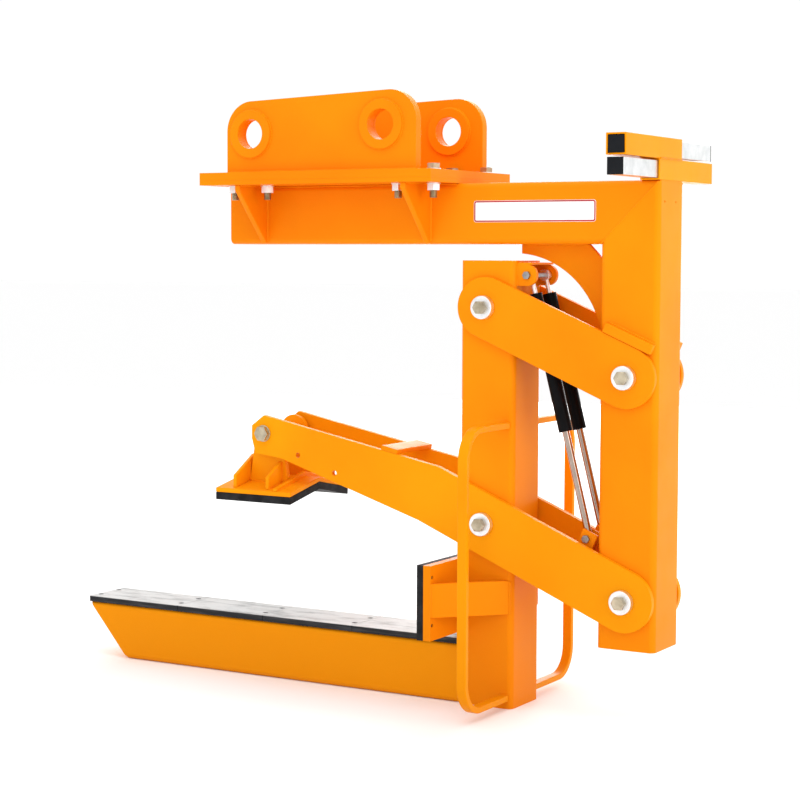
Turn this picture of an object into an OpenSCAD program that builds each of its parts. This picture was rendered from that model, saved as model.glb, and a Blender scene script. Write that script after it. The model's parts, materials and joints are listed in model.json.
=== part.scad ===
// Self-gripping lifting clamp for an excavator, standing open on its lower tine.
// A hooked frame carries a jaw carriage on two pairs of parallel links. The lower links run on
// as arms to a hinged shoe, so lifting the frame drives the shoe down towards the tine.
// The origin is on the floor at the middle of the standing clamp, +X towards the mast, +Z up.

/* [Frame tube] */
// Width of the square tube of mast, beam, carriage post and tine
tube_w = 150; // [120:1:180]
// Wall of the square tube
tube_wall = 8; // [5:0.5:12]
// Outer corner radius of the square tube
tube_r = 15; // [10:1:20]
// Height of the mast
mast_h = 1120; // [950:5:1400]
// Length of the beam, from its free end to the back of the mast
beam_l = 1220; // [1000:5:1500]
// Height of the mast's foot above the floor
mast_clear = 180; // [150:1:260]

/* [Linkage] */
// Distance between the two pivots of a link
link_l = 410; // [340:1:500]
// Slope of the links when open
link_tilt = 23; // [15:0.5:25]
// Height of each upper pivot above the lower one
pivot_rise = 535; // [400:1:560]
// Height of the lower mast pivot above the mast's foot
pivot_up = 120; // [100:1:160]
// Depth of the link plates
link_w = 150; // [110:1:160]
// Thickness of the link and lever plates
link_t = 15; // [10:1:22]
// Gap between a post and a link plate
side_gap = 1; // [0.5:0.1:3]
// Diameter of the link pins
pin_d = 40; // [30:1:50]
// Radial clearance of a turning fit
running = 0.05; // [0.02:0.01:0.1]
// Radial clearance of the pivot where the closed linkage is opened
open_fit = 0.6; // [0.4:0.1:1.5]
// Diameter of the end cap on a link pin
cap_d = 58; // [50:1:66]
// Thickness of the end cap on a link pin
cap_t = 18; // [8:1:24]
// Width across flats of the big hex heads
hex_af = 30; // [24:1:36]
// Height of the big hex heads
hex_h = 12.5; // [8:0.5:16]

/* [Clamping arm] */
// Shoe pin's distance from the lower carriage pivot, along X
arm_reach = 654; // [560:1:760]
// Height of the shoe pin above the lower carriage pivot
arm_rise = 193; // [150:1:230]
// Distance of the arm's knee beyond the lower carriage pivot
knee_out = 168; // [140:1:190]
// Size of the arm's tip around the shoe pin
tip_r = 43; // [36:1:48]
// Diameter of the shoe pin
shoe_pin_d = 24; // [20:1:30]

/* [Shoe] */
// Length of the shoe
shoe_l = 236; // [190:1:290]
// Width of the shoe
shoe_w = 284; // [230:1:340]
// Rise of the shoe's roof from edge to ridge
shoe_rise = 28; // [15:1:40]
// Depth of the shoe's lower edge below its pin
shoe_drop = 177; // [165:1:185]
// Thickness of the shoe's rubber
shoe_rubber_t = 20; // [12:1:24]
// Thickness of the shoe's plate
shoe_plate_t = 12; // [8:1:16]
// Thickness of the shoe's ears
shoe_ear_t = 14; // [10:1:18]

/* [Carriage] */
// Height of the carriage post
post_h = 1110; // [1000:5:1130]
// Length of the tine in front of the carriage post
tine_l = 1180; // [900:5:1300]
// Length of the raked end of the tine
rake = 130; // [80:1:160]
// Thickness of the rubber on the tine
pad_t = 16; // [8:1:20]
// Width of the heel plate
heel_w = 440; // [360:1:500]
// Height of the heel plate
heel_h = 186; // [140:1:190]
// Thickness of the heel plate
heel_t = 20; // [12:1:25]
// Thickness of the heel's rubber
heel_rubber_t = 18; // [10:1:22]
// Gap between the tine's rubber and the heel plate
heel_gap = 14; // [8:1:20]
// Depth of the heel braces
brace_h = 84; // [60:1:100]
// Thickness of the heel braces
brace_t = 12; // [8:1:16]

/* [Handles] */
// Width of the flat bar the handles are bent from
grip_w = 25; // [20:1:30]
// Thickness of the handle's flat bar
grip_t = 15; // [8:1:18]
// Distance from the post's side to the outside of the grip
grip_out = 224; // [160:1:260]
// Height of the underside of the handle's lower leg above the floor
grip_low = 20; // [15:1:60]
// Height of the top of the handle's upper leg above the floor
grip_high = 714; // [680:1:760]
// Outer radius of the handle's bends
grip_bend = 80; // [50:1:90]

/* [Gas struts] */
// Diameter of the strut barrels
barrel_d = 34; // [24:1:36]
// Wall of the strut barrels
barrel_wall = 2; // [1.5:0.1:3]
// Diameter of the strut rods
rod_d = 18; // [10:1:19]
// Distance between the two struts
strut_gap = 79; // [70:1:84]
// Distance of the upper strut pin from the carriage post's face
strut_off = 27; // [24:1:40]
// Height of the upper strut pin above the lower carriage pivot
strut_up = 614; // [600:1:630]
// Distance of the lower strut pin before the lower mast pivot
foot_in = 111; // [105:1:120]
// Height of the lower strut pin above the lower mast pivot
foot_up = 139; // [130:1:150]
// Length of a barrel from its eye to its open end
barrel_l = 391; // [320:1:400]
// Length of a rod from its eye to its piston
rod_l = 420; // [380:1:440]
// Diameter of the strut pins
strut_pin_d = 12; // [10:1:14]

/* [Headstock] */
// Length of the adapter plates
plate_l = 686; // [600:1:760]
// Width of the adapter plates
plate_w = 418; // [400:1:460]
// Thickness of the lower adapter plate
base_plate_t = 12; // [8:1:16]
// Thickness of the upper adapter plate
top_plate_t = 20; // [15:1:30]
// Length of the ears
ear_l = 560; // [520:1:600]
// Thickness of the ears
ear_t = 25; // [20:1:30]
// Gap between the ears
ear_gap = 320; // [310:1:340]
// Height of the ears at the mast end
ear_h = 198; // [180:1:220]
// Drop of the ears' top edge towards the free end
ear_slope = 20; // [0:1:30]
// Radius of the headstock pin bores
bore_r = 37.5; // [30:0.5:42]
// Distance between the two headstock bores
bore_gap = 387; // [370:1:400]
// Outer radius of the bore bosses
boss_r = 61; // [55:1:66]
// Thickness of the bore bosses
boss_t = 8; // [5:1:12]
// Diameter of the adapter bolts
bolt_d = 20; // [16:1:22]
// Distance of the adapter bolts from the middle plane
bolt_y = 138; // [132:1:140]
// Distance between the two bolts beside a gusset
bolt_pair = 100; // [90:1:110]

/* [Extension bars] */
// Width of the square sleeves
sleeve_w = 50; // [46:1:60]
// Wall of the square sleeves
sleeve_wall = 4; // [3:0.5:5]
// Clearance between a bar and its sleeve on each side
bar_fit = 1; // [0.5:0.1:2]
// Length of the sleeves
sleeve_l = 330; // [300:1:350]
// Length of the sliding bars
bar_l = 520; // [480:1:540]
// Length of bar that stands out of its sleeve
bar_out = 195; // [185:1:215]

/* [Hidden] */
$fn = 64;
tube_in = tube_w - 2 * tube_wall;
half = tube_w / 2;
// Room left between welded solids that share a face, where both are round
weld_fit = 0.05;
// Gap that keeps two moving bodies apart where they come close
skim = 0.5;
plate_in = half + side_gap;
plate_out = plate_in + link_t;

overall_l = tine_l + link_l * cos(link_tilt) + tube_w;
mast_x = overall_l / 2 - half;
post_x = mast_x - link_l * cos(link_tilt);
mast_top = mast_clear + mast_h;
beam_z = mast_top - tube_w;
beam_x = mast_x + half - beam_l;
low_z = mast_clear + pivot_up;
left_z = low_z + link_l * sin(link_tilt);
tip_x = post_x - arm_reach;
tip_z = left_z + arm_rise;
post_face = post_x - half;
tine_tip = post_face - tine_l;

cap_z = 6;
bush_r = pin_d / 2 + 12;
orange = [0.96, 0.58, 0.08];
rubber_black = [0.08, 0.08, 0.08];
zinc = [0.78, 0.79, 0.80];

// A flat drawn in X and Z, standing from y0 towards the back by t
module upright(y0, t) {
    translate([0, y0 + t, 0]) rotate([90, 0, 0]) linear_extrude(t) children();
}

// A flat drawn in Y and Z, standing from x0 towards the mast by t
module across(x0, t) {
    translate([x0, 0, 0]) rotate([90, 0, 90]) linear_extrude(t) children();
}

// A round bar or bore along Y through the point x, z
module along_y(x, z, r, y0, y1) {
    translate([x, y1, z]) rotate([90, 0, 0]) cylinder(r = r, h = y1 - y0);
}

module hex_y(x, z, af, y0, y1) {
    translate([x, y1, z]) rotate([90, 0, 0]) cylinder(d = af / cos(30), h = y1 - y0, $fn = 6);
}

module rounded_square(w, r) {
    square([w - 2 * r, w], center = true);
    square([w, w - 2 * r], center = true);
    for (sx = [-1, 1], sy = [-1, 1]) translate([sx * (w / 2 - r), sy * (w / 2 - r)]) circle(r);
}

module tube_outline(w, wall, r) {
    difference() {
        rounded_square(w, r);
        rounded_square(w - 2 * wall, max(r - wall, 1));
    }
}

module both_sides() {
    for (s = [0, 1]) mirror([0, s, 0]) children();
}

// ---- frame ----
// The corner between mast and beam, cut at half a right angle
mitre_far = tube_w * 2;
module mitre_corner(lower) {
    corner = [mast_x + half, mast_top];
    inner = [mast_x - half, beam_z];
    beyond = [mitre_far, mitre_far];
    upright(-tube_w, 2 * tube_w)
        polygon(lower
            ? [inner - beyond, inner - [mitre_far, 2 * mitre_far], corner + [mitre_far, -mitre_far], corner + beyond]
            : [inner - beyond, inner - [2 * mitre_far, mitre_far], corner + [-mitre_far, mitre_far], corner + beyond]);
}

small_hole_r = 3;
small_hole_ys = [-42, 25];
module mast_tube() {
    color(orange) difference() {
        translate([mast_x, 0, mast_clear]) linear_extrude(mast_h) tube_outline(tube_w, tube_wall, tube_r);
        mitre_corner(false);
        for (y = small_hole_ys) translate([mast_x, y, mast_top - tube_w / 3]) rotate([0, 90, 0])
            cylinder(r = small_hole_r, h = tube_w);
        for (z = [low_z, low_z + pivot_rise]) along_y(mast_x, z, bush_r + weld_fit, -tube_w, tube_w);
    }
}

module beam_tube() {
    color(orange) difference() {
        translate([beam_x, 0, beam_z + half]) rotate([90, 0, 90]) linear_extrude(beam_l)
            tube_outline(tube_w, tube_wall, tube_r);
        mitre_corner(true);
    }
}

module tube_cap() {
    linear_extrude(cap_z) rounded_square(tube_in, max(tube_r - tube_wall, 1));
}

module beam_end_cap() {
    color(orange) translate([beam_x, 0, beam_z + half]) rotate([90, 0, 90]) tube_cap();
}

module mast_foot_cap() {
    color(orange) translate([mast_x, 0, mast_clear]) tube_cap();
}

gusset_l = 243;
gusset_lip = 22;
gusset_arc = 240;
gusset_snip = 60;
gusset_t = 12;
module corner_gusset() {
    x = mast_x - half;
    c = gusset_lip + gusset_arc;
    color(orange) upright(-gusset_t / 2, gusset_t) difference() {
        polygon([[x - gusset_l, beam_z], [x - gusset_snip, beam_z], [x, beam_z - gusset_snip],
            [x, beam_z - gusset_l], [x - gusset_l, beam_z - gusset_l]]);
        translate([x - c, beam_z - c]) circle(gusset_arc, $fn = 120);
    }
}

plate_x = beam_x + plate_l / 2 - 4;
rib_xs = [plate_x - 229, plate_x + 261];
rib_t = 15;
module side_gussets() {
    color(orange) both_sides() for (x = rib_xs) across(x - rib_t / 2, rib_t)
        polygon([[half, mast_top], [plate_w / 2 - 6, mast_top], [plate_w / 2 - 6, mast_top - 14],
            [half + 6, beam_z + 2], [half, beam_z + 2]]);
}

// Bars on the mast that the upper links rest against when the clamp is open
stop_t = 24;
stop_from = -35;
stop_to = 98;
module stop_bars() {
    color(orange) both_sides() upright(half, plate_out + 3 - half)
        translate([mast_x, low_z + pivot_rise]) rotate(-link_tilt)
            translate([-stop_to, link_w / 2 + skim]) square([stop_to - stop_from, stop_t]);
}

plate_z = mast_top + base_plate_t;
bolt_xs = [for (x = rib_xs, s = [-1, 1]) x + s * bolt_pair / 2];
bolt_hole_r = bolt_d / 2 + 1;
module bolt_places() {
    for (x = bolt_xs, s = [-1, 1]) translate([x, s * bolt_y, 0]) children();
}

module adapter_plate(z, t) {
    difference() {
        translate([plate_x - plate_l / 2, -plate_w / 2, z]) cube([plate_l, plate_w, t]);
        bolt_places() translate([0, 0, z - 1]) cylinder(r = bolt_hole_r, h = t + 2);
    }
}

module base_plate() {
    color(orange) adapter_plate(mast_top, base_plate_t);
}

module top_plate() {
    color(orange) adapter_plate(plate_z, top_plate_t);
}

ear_z = plate_z + top_plate_t;
ear_x0 = plate_x - ear_l / 2 + 8;
ear_x1 = ear_x0 + ear_l;
ear_corner = 76;
bore_x1 = ear_x1 - 98;
bore_z1 = ear_z + 111;
bore_x0 = bore_x1 - bore_gap;
bore_z0 = bore_z1 - ear_slope * bore_gap / ear_l;
ear_in = ear_gap / 2;
module ear_outline() {
    slope = atan(ear_slope / ear_l);
    low_top = ear_h - ear_slope;
    lc = [ear_x0 + ear_corner, ear_z + low_top + ear_corner * (tan(slope) - 1 / cos(slope))];
    rc = [ear_x1 - ear_corner, ear_z + ear_h - ear_corner * (tan(slope) + 1 / cos(slope))];
    up = ear_corner * [-sin(slope), cos(slope)];
    polygon([[ear_x0, ear_z], [ear_x1, ear_z], [ear_x1, rc[1]], rc, rc + up, lc + up, lc, [ear_x0, lc[1]]]);
    for (c = [lc, rc]) translate(c) circle(ear_corner, $fn = 96);
}

module ear() {
    difference() {
        upright(ear_in, ear_t) ear_outline();
        along_y(bore_x0, bore_z0, bore_r, 0, plate_w);
        along_y(bore_x1, bore_z1, bore_r, 0, plate_w);
    }
}

module front_ear() {
    color(orange) mirror([0, 1, 0]) ear();
}

module rear_ear() {
    color(orange) ear();
}

module ear_bosses() {
    color(orange) both_sides() for (p = [[bore_x0, bore_z0], [bore_x1, bore_z1]])
        for (y = [ear_in - boss_t, ear_in + ear_t]) difference() {
            along_y(p[0], p[1], boss_r, y, y + boss_t);
            along_y(p[0], p[1], bore_r, y - 1, y + boss_t + 1);
        }
}

washer_r = 18.5;
washer_t = 3;
nut_h = 16;
module plate_bolts() {
    head_z = ear_z + washer_t;
    tail_z = mast_top - washer_t - nut_h - 18;
    color(zinc) bolt_places() {
        translate([0, 0, head_z]) cylinder(d = hex_af / cos(30), h = hex_h, $fn = 6);
        translate([0, 0, tail_z]) cylinder(d = bolt_d, h = head_z - tail_z);
    }
}

module plate_nuts() {
    color(zinc) bolt_places() translate([0, 0, mast_top - washer_t - nut_h]) difference() {
        cylinder(d = hex_af / cos(30), h = nut_h, $fn = 6);
        translate([0, 0, -1]) cylinder(r = bolt_d / 2 + weld_fit, h = nut_h + 2);
    }
}

module plate_washers() {
    color(zinc) bolt_places() for (z = [ear_z, mast_top - washer_t]) translate([0, 0, z]) difference() {
        cylinder(r = washer_r, h = washer_t);
        translate([0, 0, -1]) cylinder(r = bolt_hole_r, h = washer_t + 2);
    }
}

// Bushes, pins, caps and bolts of the two pivots on one post
module pivot_bushes(x, z) {
    for (dz = [0, pivot_rise]) difference() {
        along_y(x, z + dz, bush_r, -half, half);
        along_y(x, z + dz, pin_d / 2 + running, -tube_w, tube_w);
    }
}

cap_y = plate_out + skim;
module pivot_pins(x, z) {
    for (dz = [0, pivot_rise]) along_y(x, z + dz, pin_d / 2, -cap_y, cap_y);
}

cap_bolt_d = 20;
module pivot_caps(x, z) {
    both_sides() for (dz = [0, pivot_rise]) difference() {
        along_y(x, z + dz, cap_d / 2, cap_y, cap_y + cap_t);
        along_y(x, z + dz, cap_bolt_d / 2 + weld_fit, cap_y - 1, cap_y + cap_t + 1);
    }
}

module pivot_cap_bolts(x, z) {
    both_sides() for (dz = [0, pivot_rise]) {
        hex_y(x, z + dz, hex_af, cap_y + cap_t, cap_y + cap_t + hex_h);
        along_y(x, z + dz, cap_bolt_d / 2, cap_y, cap_y + cap_t);
    }
}

module mast_bushes() {
    color(orange) pivot_bushes(mast_x, low_z);
}

module mast_pins() {
    color(zinc) pivot_pins(mast_x, low_z);
}

module mast_pin_caps() {
    color(zinc) pivot_caps(mast_x, low_z);
}

module mast_cap_bolts() {
    color(zinc) pivot_cap_bolts(mast_x, low_z);
}

// ---- extension bars on top of the mast ----
sleeve_x = mast_x + half - sleeve_w / 2;
bar_w = sleeve_w - 2 * sleeve_wall - 2 * bar_fit;
bar_wall = 3;
plug_t = 4;
lower_y = -half;
upper_y = 60 - sleeve_l;
module square_pipe(y0, l, z, w, wall) {
    difference() {
        translate([sleeve_x - w / 2, y0, z]) cube([w, l, w]);
        translate([sleeve_x - w / 2 + wall, y0 - 1, z + wall]) cube([w - 2 * wall, l + 2, w - 2 * wall]);
    }
}

module bar_plug(y, z) {
    translate([sleeve_x - bar_w / 2, y, z]) cube([bar_w, plug_t, bar_w]);
}

module lower_sleeve() {
    color(orange) square_pipe(lower_y, sleeve_l, mast_top, sleeve_w, sleeve_wall);
}

module upper_sleeve() {
    color(orange) square_pipe(upper_y, sleeve_l, mast_top + sleeve_w, sleeve_w, sleeve_wall);
}

bar_z = mast_top + sleeve_wall + bar_fit;
lower_bar_y = lower_y - bar_out;
upper_bar_end = upper_y + sleeve_l + bar_out;
module lower_bar() {
    color(zinc) square_pipe(lower_bar_y, bar_l, bar_z, bar_w, bar_wall);
}

module upper_bar() {
    color(zinc) square_pipe(upper_bar_end - bar_l, bar_l, bar_z + sleeve_w, bar_w, bar_wall);
}

module lower_bar_plugs() {
    color(rubber_black) {
        bar_plug(lower_bar_y - plug_t, bar_z);
        bar_plug(lower_bar_y + bar_l, bar_z);
    }
}

module upper_bar_plugs() {
    color(rubber_black) {
        bar_plug(upper_bar_end, bar_z + sleeve_w);
        bar_plug(upper_bar_end - bar_l - plug_t, bar_z + sleeve_w);
    }
}

// ---- upper links ----
module link_outline(x, z) {
    translate([x, z]) rotate(180 - link_tilt) {
        translate([0, -link_w / 2]) square([link_l, link_w]);
        circle(link_w / 2, $fn = 96);
        translate([link_l, 0]) circle(link_w / 2, $fn = 96);
    }
}

module upper_link() {
    difference() {
        upright(plate_in, link_t) link_outline(mast_x, low_z + pivot_rise);
        along_y(mast_x, low_z + pivot_rise, pin_d / 2 + running, 0, tube_w);
        along_y(post_x, left_z + pivot_rise, pin_d / 2 + open_fit, 0, tube_w);
    }
}

module front_upper_link() {
    color(orange) mirror([0, 1, 0]) upper_link();
}

module rear_upper_link() {
    color(orange) upper_link();
}

// ---- levers ----
back = [-cos(link_tilt), sin(link_tilt)];
rise = [sin(link_tilt), cos(link_tilt)];
knee = [post_x, left_z] + knee_out * back;
knee_top = knee + link_w / 2 * rise;
knee_low = knee - link_w / 2 * rise;
tip = [tip_x, tip_z];
// Corners of the arm's cut-off tip, from its top round to its lower edge
tip_head = tip + [1, tip_r + 5];
tip_nose = tip + [6 - tip_r, 20];
tip_chin = tip + [6 - tip_r, -14];
tip_jaw = tip + [-26, -tip_r - 10];
tip_neck = tip + [56, -tip_r - 20];
arm_hole_r = 7;
arm_holes = [[108, -52], [220, -92]];
module lever_outline() {
    link_outline(mast_x, low_z);
    translate([post_x, left_z]) rotate(180 - link_tilt) translate([0, -link_w / 2]) square([knee_out, link_w]);
    polygon([knee_top, tip_head, tip_nose, tip_chin, tip_jaw, tip_neck, knee_low]);
}

module lever() {
    difference() {
        upright(plate_in, link_t) lever_outline();
        along_y(mast_x, low_z, pin_d / 2 + running, 0, tube_w);
        along_y(post_x, left_z, pin_d / 2 + running, 0, tube_w);
        along_y(tip_x, tip_z, shoe_pin_d / 2 + weld_fit, 0, tube_w);
        for (h = arm_holes) along_y(tip_x + h[0], tip_z + h[1], arm_hole_r, 0, tube_w);
    }
}

module front_lever() {
    color(orange) mirror([0, 1, 0]) lever();
}

module rear_lever() {
    color(orange) lever();
}

tie_from = 125;
tie_l = 48;
tie_t = 12;
module arm_tie_plate() {
    slope = atan2(tip_head[1] - knee_top[1], tip_head[0] - knee_top[0]);
    color(orange) upright(-plate_out, 2 * plate_out) translate(knee_top) rotate(slope)
        translate([tie_from, -tie_t]) square([tie_l, tie_t]);
}

// Strut pins, measured from the lower carriage pivot and the lower mast pivot
strut_top = [post_x + half + strut_off, left_z + strut_up];
strut_foot = [mast_x - foot_in, low_z + foot_up];
strut_d = strut_foot - strut_top;
strut_l = norm(strut_d);
strut_lean = atan2(strut_d[0], -strut_d[1]);
eye_w = 20;
eye_r = 14;
lug_r = 22;
lug_t = 8;
lug_in = strut_gap / 2 + eye_w / 2 + 1;
anchor_t = 12;
anchor_down = 34;
anchor_l = 60;
module strut_anchor() {
    color(orange) difference() {
        union() {
            upright(-plate_in, 2 * plate_in) translate(strut_foot) rotate(-link_tilt)
                translate([-anchor_l / 2, -anchor_down - anchor_t]) square([anchor_l, anchor_t]);
            for (s = [-1, 1], y = [lug_in, lug_in - eye_w - 2 - lug_t])
                upright(s * (y + lug_t / 2) - lug_t / 2, lug_t) translate(strut_foot) rotate(-link_tilt)
                    translate([4 - lug_r, -anchor_down - 1]) square([2 * lug_r - 3, anchor_down + lug_r - 1]);
        }
        along_y(strut_foot[0], strut_foot[1], strut_pin_d / 2 + weld_fit, -tube_w, tube_w);
    }
}

strut_head_h = 8;
module strut_pin_at(p, reach) {
    along_y(p[0], p[1], strut_pin_d / 2, -reach - 8, reach);
    for (y = [-reach - strut_head_h, reach]) hex_y(p[0], p[1], 1.5 * strut_pin_d, y, y + strut_head_h);
}

module strut_lower_pin() {
    color(zinc) strut_pin_at(strut_foot, lug_in + lug_t);
}

shoe_head_af = 36;
shoe_head_h = 12;
shoe_washer_r = 22;
module shoe_pin() {
    color(zinc) {
        along_y(tip_x, tip_z, shoe_pin_d / 2, -plate_out - washer_t, plate_out + washer_t + shoe_head_h + 4);
        along_y(tip_x, tip_z, shoe_washer_r, -plate_out - washer_t, -plate_out);
        hex_y(tip_x, tip_z, shoe_head_af, -plate_out - washer_t - shoe_head_h, -plate_out - washer_t);
    }
}

module shoe_pin_nut() {
    y = plate_out;
    color(zinc) difference() {
        union() {
            along_y(tip_x, tip_z, shoe_washer_r, y, y + washer_t);
            hex_y(tip_x, tip_z, shoe_head_af, y + washer_t, y + washer_t + shoe_head_h);
        }
        along_y(tip_x, tip_z, shoe_pin_d / 2 + weld_fit, y - 1, y + tube_w);
    }
}

// ---- shoe ----
ear_out = plate_in - 10;
shoe_ear_in = ear_out - shoe_ear_t;
shoe_edge = tip_z - shoe_drop;
shoe_x0 = tip_x - shoe_l / 2;
rubber_top = shoe_edge + shoe_rubber_t;
plate_top = rubber_top + shoe_plate_t;
shoe_slope = shoe_rise / (shoe_w / 2);
hub_r = shoe_pin_d / 2 + 9;
// Height of the shoe plate's upper side at a distance y from the ridge
function roof(y) = plate_top + shoe_rise - shoe_slope * y;
module roof_band(z, t) {
    w = shoe_w / 2;
    polygon([[-w, z], [0, z + shoe_rise], [w, z], [w, z + t], [0, z + t + shoe_rise], [-w, z + t]]);
}

module shoe_rubber() {
    color(rubber_black) across(shoe_x0, shoe_l) roof_band(shoe_edge, shoe_rubber_t);
}

module shoe_plate() {
    color(orange) across(shoe_x0, shoe_l) roof_band(rubber_top, shoe_plate_t);
}

ear_foot = 60;
ear_top_r = 40;
module shoe_ears() {
    foot = roof(ear_out);
    side = acos(ear_top_r / norm([ear_foot, tip_z - foot]));
    lean = atan2(ear_foot, tip_z - foot);
    a = side + lean - 90;
    color(orange) both_sides() difference() {
        upright(shoe_ear_in, shoe_ear_t) {
            translate(tip) circle(ear_top_r);
            polygon([tip + [-ear_foot, foot - tip_z], tip + [ear_foot, foot - tip_z],
                tip + ear_top_r * [cos(a), sin(a)], tip + ear_top_r * [-cos(a), sin(a)]]);
        }
        across(tip_x - ear_foot - 1, 2 * ear_foot + 2)
            polygon([[0, roof(0)], [shoe_w, roof(shoe_w)], [shoe_w, 0], [0, 0]]);
        along_y(tip_x, tip_z, shoe_pin_d / 2 + running, 0, tube_w);
    }
}

module shoe_hub() {
    color(orange) difference() {
        along_y(tip_x, tip_z, hub_r, -shoe_ear_in, shoe_ear_in);
        along_y(tip_x, tip_z, shoe_pin_d / 2 + running, -tube_w, tube_w);
    }
}

shoe_rib_t = 10;
shoe_rib_h = 32;
shoe_rib_slope = 0.58;
shoe_bar_t = 12;
rib_out = shoe_w / 2 - 12;
rib_in = ear_out - 22;
rib_low = roof(rib_out) + shoe_rib_h;
rib_high = rib_low + shoe_rib_slope * (rib_out - rib_in);
module shoe_ribs() {
    w = shoe_w / 2 - 2;
    color(orange) {
        across(tip_x - ear_foot - shoe_rib_t, shoe_rib_t)
            polygon([[-rib_out, roof(rib_out)], [0, roof(0)], [rib_out, roof(rib_out)], [rib_out, rib_low],
                [rib_in, rib_high], [-rib_in, rib_high], [-rib_out, rib_low]]);
        both_sides() across(tip_x + ear_foot / 2 + 2, shoe_rib_t)
            polygon([[ear_out, roof(ear_out)], [rib_out, roof(rib_out)], [rib_out, rib_low],
                [ear_out, rib_high - 22 * shoe_rib_slope]]);
        across(tip_x + ear_foot + 2, shoe_bar_t)
            polygon([[-w, roof(w)], [0, roof(0)], [w, roof(w)], [w, roof(w) + 7], [0, roof(0) + 13], [-w, roof(w) + 7]]);
    }
}

// ---- carriage ----
module carriage_post() {
    color(orange) difference() {
        translate([post_x, 0, 0]) linear_extrude(post_h) tube_outline(tube_w, tube_wall, tube_r);
        for (z = [left_z, left_z + pivot_rise]) along_y(post_x, z, bush_r + weld_fit, -tube_w, tube_w);
    }
}

module post_top_cap() {
    color(orange) translate([post_x, 0, post_h - cap_z]) tube_cap();
}

module post_foot_cap() {
    color(orange) translate([post_x, 0, 0]) tube_cap();
}

module carriage_bushes() {
    color(orange) pivot_bushes(post_x, left_z);
}

module carriage_pins() {
    color(zinc) pivot_pins(post_x, left_z);
}

module carriage_pin_caps() {
    color(zinc) pivot_caps(post_x, left_z);
}

module carriage_cap_bolts() {
    color(zinc) pivot_cap_bolts(post_x, left_z);
}

// The region behind a line raked by the tine's end, set back by a distance
module raked(back_by) {
    upright(-tube_w, 2 * tube_w)
        polygon([[tine_tip + back_by, tube_w], [tine_tip + rake + back_by, 0],
            [tine_tip + rake + back_by, -1], [tine_tip - 1, -1], [tine_tip - 1, tube_w + 1], [tine_tip + back_by, tube_w + 1]]);
}

module tine() {
    end_plate = 8 * sqrt(rake * rake + tube_w * tube_w) / tube_w;
    color(orange) difference() {
        translate([tine_tip, 0, half]) rotate([90, 0, 90]) linear_extrude(tine_l) rounded_square(tube_w, tube_r);
        difference() {
            translate([tine_tip, 0, half]) rotate([90, 0, 90]) linear_extrude(tine_l + 1)
                rounded_square(tube_in, max(tube_r - tube_wall, 1));
            raked(end_plate);
        }
        raked(0);
    }
}

screw_row = 80;
screw_r = 8;
screw_xs = [for (i = [0 : 3]) tine_tip + 12 + i * (tine_l - 60) / 4];
sink = 3;
module pad_screw_places() {
    for (x = screw_xs, s = [-1, 1]) translate([x, s * screw_row / 2, tube_w + pad_t]) children();
}

module tine_pad() {
    color(rubber_black) difference() {
        translate([tine_tip, -half, tube_w]) cube([tine_l, tube_w, pad_t]);
        pad_screw_places() translate([0, 0, -pad_t - 1]) cylinder(r = screw_r, h = pad_t + 2);
    }
}

module tine_pad_screws() {
    color(zinc) pad_screw_places() translate([0, 0, -pad_t]) difference() {
        cylinder(r = screw_r - weld_fit, h = pad_t - 1);
        translate([0, 0, pad_t - 1 - sink]) cylinder(d = 8 / cos(30), h = sink + 1, $fn = 6);
    }
}

heel_z = tube_w + pad_t + heel_gap;
heel_screw_y = heel_w / 2 - 10;
heel_screw_zs = [heel_z + 38, heel_z + heel_h - 29];
heel_screw_r = 5;
module heel_slab(x, t) {
    difference() {
        translate([x, -heel_w / 2, heel_z]) cube([t, heel_w, heel_h]);
        for (z = heel_screw_zs, s = [-1, 1]) translate([x - 1, s * heel_screw_y, z])
            rotate([0, 90, 0]) cylinder(r = heel_screw_r, h = t + 2);
    }
}

module heel_plate() {
    color(orange) heel_slab(post_face - heel_t, heel_t);
}

module heel_rubber() {
    color(rubber_black) heel_slab(post_face - heel_t - heel_rubber_t, heel_rubber_t);
}

module heel_screws() {
    l = heel_t + heel_rubber_t - 5;
    color(zinc) for (z = heel_screw_zs, s = [-1, 1])
        translate([post_face - heel_t - heel_rubber_t + 2, s * heel_screw_y, z])
            rotate([0, 90, 0]) cylinder(r = heel_screw_r - weld_fit, h = l);
}

brace_z = heel_z + 58;
module heel_braces() {
    outer = heel_w / 2;
    end_x = post_x + half - 7;
    color(orange) both_sides() translate([0, 0, brace_z]) linear_extrude(brace_h)
        polygon([[post_face, outer], [end_x, half], [end_x - brace_t * 1.5, half], [post_face, outer - brace_t * 1.4]]);
}

grip_x = post_x + half - 21;
// Outline of the U from the post's side, with round outer corners at the far end
module grip_outline(out, z0, z1, r) {
    translate([half - 1, z0]) square([out - r + 1, z1 - z0]);
    translate([half, z0 + r]) square([out, z1 - z0 - 2 * r]);
    for (z = [z0 + r, z1 - r]) translate([half + out - r, z]) circle(r, $fn = 96);
}

module handle() {
    across(grip_x - grip_w / 2, grip_w) difference() {
        grip_outline(grip_out, grip_low, grip_high, grip_bend);
        grip_outline(grip_out - grip_t, grip_low + grip_t, grip_high - grip_t, grip_bend - grip_t);
        translate([half - 2, grip_low - 1]) square([2, grip_high - grip_low + 2]);
    }
}

module front_handle() {
    color(orange) mirror([0, 1, 0]) handle();
}

module rear_handle() {
    color(orange) handle();
}

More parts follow.
